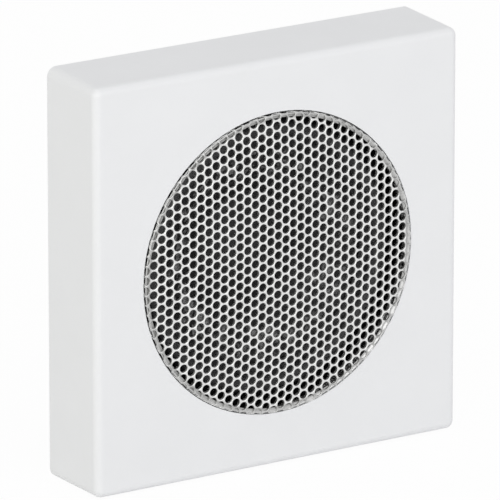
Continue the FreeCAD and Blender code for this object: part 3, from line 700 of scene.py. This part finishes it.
def join_rim(sheet, rim, seat):
    """Welds the sheet's cells to each other, closes its end and adds the rim to it."""
    shell = bmesh.new()
    shell.from_mesh(sheet)
    bmesh.ops.remove_doubles(shell, verts=shell.verts, dist=WELD * MM)
    bmesh.ops.dissolve_degenerate(shell, edges=shell.edges, dist=WELD * MM)
    close_seat(shell, seat)
    shell.from_mesh(rim)
    bpy.data.meshes.remove(rim)
    bmesh.ops.recalc_face_normals(shell, faces=shell.faces)
    shell.to_mesh(sheet)
    shell.free()


def make_grille(materials):
    """The domed steel grille with every punched hole, standing for the plainer CAD sheet."""
    low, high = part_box("grille")
    crown, back = low.y / MM, high.y / MM
    flange = high.x / MM
    wall = flange - FLANGE_REACH
    seat = back - SHEET
    profile = GrilleProfile(crown, wall, seat)
    mesh = mesh_from("grille_sheet", *perforated_sheet(profile))
    join_rim(mesh, rim_mesh(profile, wall, flange, seat, back), seat)
    smooth(mesh)
    play = Vector((GRILLE_PLAY[0], 0, GRILLE_PLAY[1])) * MM
    mesh.transform(Matrix.Translation(play))
    piece = new_object("grille_sheet", mesh)
    mesh.materials.append(materials["grille_steel"])
    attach(piece, "module")
    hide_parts("grille")


# The soft moving pieces


def arc(centre, radius, start, end, steps):
    """Points of an arc in radius and depth, with angles in degrees."""
    points = []
    for step in range(steps + 1):
        angle = math.radians(start + (end - start) * step / steps)
        points.append((centre[0] + radius * math.cos(angle), centre[1] - radius * math.sin(angle)))
    return points


def make_sectors(name, node, profile, material):
    """A round soft piece made as separate sectors, each closed with end faces."""
    sweep = FULL_TURN / SECTORS
    for sector in range(SECTORS):
        start = sector * sweep
        vertices, faces = turned_faces(profile, SECTOR_STEPS, start=start, sweep=sweep)
        for cap in (vertices[len(profile) - 1::-1], vertices[-len(profile):]):
            faces.append(tuple(range(len(vertices), len(vertices) + len(cap))))
            vertices = vertices + cap
        mesh = mesh_from(f"{name}_{sector + 1}", vertices, faces)
        smooth(mesh)
        mesh.materials.append(material)
        piece = new_object(f"{name}_{sector + 1}", mesh)
        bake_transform(piece)
        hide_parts(node)


def make_surround(materials):
    """The rubber surround: two glued lips and a half-round roll."""
    outer_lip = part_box("surround")[1].x / MM
    lip_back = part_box("gasket")[1].y / MM
    front = lip_back - SOFT_SHEET
    roll_outer = outer_lip - SURROUND_LAND
    roll_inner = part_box("cone")[1].x / MM
    middle = (roll_inner + roll_outer) / 2
    roll = (roll_outer - roll_inner) / 2
    profile = [(roll_inner - CONE_LIP, front)]
    profile += arc((middle, front), roll, 180, 0, ROLL_STEPS)
    profile += [(outer_lip, front), (outer_lip, lip_back)]
    profile += arc((middle, lip_back), roll - SOFT_SHEET, 0, 180, ROLL_STEPS)
    profile += [(roll_inner - CONE_LIP, lip_back)]
    make_sectors("surround_roll", "surround", profile,
                 materials["surround_rubber"])


def make_spider(materials):
    """The corrugated spider as one continuous wave between neck and ledge."""
    low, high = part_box("spider")
    middle = (low.y + high.y) / 2 / MM
    outer = high.x / MM
    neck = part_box("coil_former")[1].x / MM + NECK_GAP
    ledge = outer - SPIDER_LEDGE
    line = []
    for step in range(SPIDER_STEPS + 1):
        share = step / SPIDER_STEPS
        wave = -SPIDER_HEIGHT * math.sin(math.pi * SPIDER_WAVES * share)
        line.append((neck + (ledge - neck) * share, middle + wave))
    line.append((outer, middle))
    front = [(radius, depth - SOFT_SHEET / 2) for radius, depth in line]
    back = [(radius, depth + SOFT_SHEET / 2) for radius, depth in line]
    make_sectors("spider_disc", "spider", front + back[::-1],
                 materials["spider_cloth"])


class Path:
    """A line through points, read by the distance along it."""

    def __init__(self, points):
        self.points = points
        self.marks = [0.0]
        for before, after in zip(points, points[1:]):
            self.marks.append(self.marks[-1] + (after - before).length)
        self.length = self.marks[-1]

    def at(self, distance):
        index = 0
        while index < len(self.points) - 2 and distance > self.marks[index + 1]:
            index += 1
        share = (distance - self.marks[index]) / (self.marks[index + 1] - self.marks[index])
        return self.points[index].lerp(self.points[index + 1], share)

    def across(self, distance, step):
        """Two directions square to the line and to each other."""
        ahead = self.at(min(distance + step, self.length))
        behind = self.at(max(distance - step, 0))
        along = (ahead - behind).normalized()
        side = along.cross(Vector((0, 0, 1))).normalized()
        return side, side.cross(along).normalized()


def twisted_strands(name, points):
    """Strands wound round each other along a line of points, as one mesh."""
    path = Path(points)
    radius = STRAND_RADIUS * MM
    wind = radius * STRAND_WIND
    vertices, faces = [], []
    for strand in range(STRANDS):
        first = len(vertices)
        for step in range(STRAND_STEPS + 1):
            distance = path.length * step / STRAND_STEPS
            side, over = path.across(distance, path.length / STRAND_STEPS)
            turn = FULL_TURN * (STRAND_TURNS * step / STRAND_STEPS + strand / STRANDS)
            centre = path.at(distance) + (side * math.cos(turn) + over * math.sin(turn)) * wind
            for corner in range(STRAND_SIDES):
                angle = FULL_TURN * corner / STRAND_SIDES
                vertices.append(centre + (side * math.cos(angle) + over * math.sin(angle)) * radius)
        last = first + STRAND_STEPS * STRAND_SIDES
        for low in range(first, last, STRAND_SIDES):
            faces += ring_faces(low, low + STRAND_SIDES, STRAND_SIDES)
        faces.append(tuple(range(first, first + STRAND_SIDES)))
        faces.append(tuple(range(last, last + STRAND_SIDES))[::-1])
    mesh = mesh_from(name, vertices, faces)
    smooth(mesh)
    return mesh


def make_tinsel(materials):
    """The two slack tinsel leads as twisted strands from each solder tag to the cone."""
    inset = TINSEL_INSET * MM
    sag = Vector((0, TINSEL_SAG * MM, 0))
    for name in ("positive", "negative"):
        node = f"tinsel_{name}"
        low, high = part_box(node)
        heights = sorted((low.z + inset, high.z - inset), key=abs)
        start = Vector((high.x, low.y + (high.y - low.y) * TAG_SHARE, heights[1]))
        end = Vector((low.x + inset, low.y + inset, heights[0]))
        points = []
        for step in range(TINSEL_STEPS + 1):
            share = step / TINSEL_STEPS
            points.append(start.lerp(end, share) + sag * math.sin(math.pi * share))
        mesh = twisted_strands(f"tinsel_strands_{name}", points)
        mesh.materials.append(materials["tinsel_copper"])
        piece = new_object(f"tinsel_strands_{name}", mesh)
        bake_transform(piece)
        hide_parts(node)


# Studio


def background_rays(tree):
    """1 for rays from the camera and for mirror or clear rays, which show the white background."""
    path = tree.nodes.new("ShaderNodeLightPath")
    total = path.outputs["Is Camera Ray"]
    for name in ("Is Glossy Ray", "Is Transmission Ray"):
        most = tree.nodes.new("ShaderNodeMath")
        most.operation = "MAXIMUM"
        tree.links.new(total, most.inputs[0])
        tree.links.new(path.outputs[name], most.inputs[1])
        total = most.outputs["Value"]
    return total


def make_world():
    """An even white surround, seen at full white and lighting the object at a lower level."""
    world = bpy.data.worlds.new("studio")
    bpy.context.scene.world = world
    world.use_nodes = True
    tree = world.node_tree
    strength = tree.nodes.new("ShaderNodeMapRange")
    strength.inputs["To Min"].default_value = WORLD_LEVEL
    strength.inputs["To Max"].default_value = 1.0
    tree.links.new(background_rays(tree), strength.inputs["Value"])
    background = tree.nodes["Background"]
    background.inputs["Color"].default_value = (*WHITE, 1)
    tree.links.new(strength.outputs["Result"], background.inputs["Strength"])


def floor_material():
    """Pale paper that shows as white and keeps a small share of the shadow."""
    material = bpy.data.materials.new("floor_paper")
    material.use_nodes = True
    tree = material.node_tree
    paper_shader = tree.nodes["Principled BSDF"]
    paper_shader.inputs["Base Color"].default_value = (FLOOR_GREY, FLOOR_GREY, FLOOR_GREY, 1)
    paper_shader.inputs["Roughness"].default_value = FLOOR_ROUGHNESS
    paper_shader.inputs["Specular IOR Level"].default_value = 0.0
    white = tree.nodes.new("ShaderNodeEmission")
    white.inputs["Color"].default_value = (*WHITE, 1)
    share = tree.nodes.new("ShaderNodeMath")
    share.operation = "MULTIPLY"
    share.inputs[1].default_value = 1 - SHADOW_KEPT
    tree.links.new(background_rays(tree), share.inputs[0])
    mix = tree.nodes.new("ShaderNodeMixShader")
    tree.links.new(share.outputs["Value"], mix.inputs["Fac"])
    tree.links.new(paper_shader.outputs["BSDF"], mix.inputs[1])
    tree.links.new(white.outputs["Emission"], mix.inputs[2])
    tree.links.new(mix.outputs["Shader"], tree.nodes["Material Output"].inputs["Surface"])
    return material


def make_floor():
    """A plain pale floor under the module."""
    half = FLOOR_SIZE / 2
    level = cad_bounds[0][2]
    corners = [(-half, -half, level), (half, -half, level), (half, half, level), (-half, half, level)]
    floor = new_object("floor", mesh_from("floor", corners, [(0, 1, 2, 3)]))
    floor.data.materials.append(floor_material())


def make_lamps():
    """Large square lamps: a broad front light, a weaker one from the left and a faint one from above."""
    for name, place, power, colour in LAMPS:
        light = bpy.data.lights.new(name, "AREA")
        light.color = colour
        light.shape = "SQUARE"
        light.size = LAMP_SIZE
        light.energy = power
        lamp = new_object(name, light)
        lamp.location = place
        lamp.rotation_euler = (Vector(LAMP_AIM) - Vector(place)).to_track_quat("-Z", "Y").to_euler()


def make_camera():
    """The photograph's long-lens view."""
    camera = bpy.data.cameras.new("photo_camera")
    camera.lens = VIEW_LENS
    camera.sensor_width = SENSOR_WIDTH
    camera.clip_start = CLIP_NEAR
    camera.clip_end = CLIP_FAR
    view = new_object("photo_camera", camera)
    azimuth, elevation = math.radians(VIEW_AZIMUTH), math.radians(VIEW_ELEVATION)
    back = Vector((math.sin(azimuth) * math.cos(elevation), -math.cos(azimuth) * math.cos(elevation),
                   math.sin(elevation)))
    view.location = (Vector(LOOK_AT) + back * VIEW_DISTANCE) * MM
    view.rotation_euler = (-back).to_track_quat("-Z", "Y").to_euler()
    bpy.context.scene.camera = view


def main():
    materials = make_materials()
    dress_nodes(materials)
    make_grille(materials)
    make_surround(materials)
    make_spider(materials)
    make_tinsel(materials)
    make_world()
    make_floor()
    make_lamps()
    make_camera()
    bpy.context.scene.view_settings.view_transform = "Standard"


main()
